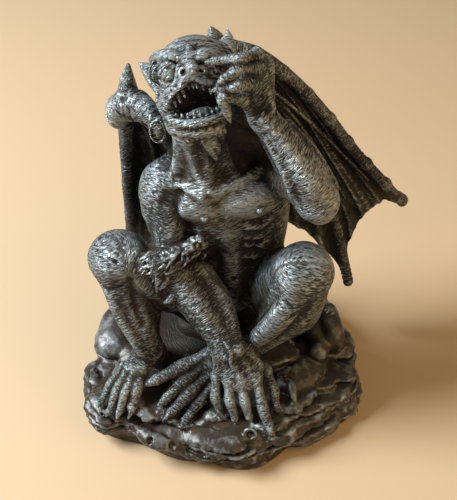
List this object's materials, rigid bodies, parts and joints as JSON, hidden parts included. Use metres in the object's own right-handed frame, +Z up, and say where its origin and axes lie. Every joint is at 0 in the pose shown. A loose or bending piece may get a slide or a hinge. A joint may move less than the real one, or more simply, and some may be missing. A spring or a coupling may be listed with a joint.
{
  "type": "gargoyle figurine",
  "caption": "Crouching winged gargoyle on a flat-bottomed rock, cast in one piece: a free-standing tabletop ornament.",
  "frame": {"origin": "centre of the rock's flat underside", "axes": "+Z up, the figure faces -Y, its own right hand is on the -X side"},
  "size_m": [0.1482, 0.1093, 0.1901],
  "materials": {
    "cast_resin": "satin"
  },
  "bodies": {
    "root": {"gargoyle": "cast_resin"}
  },
  "joints": []
}
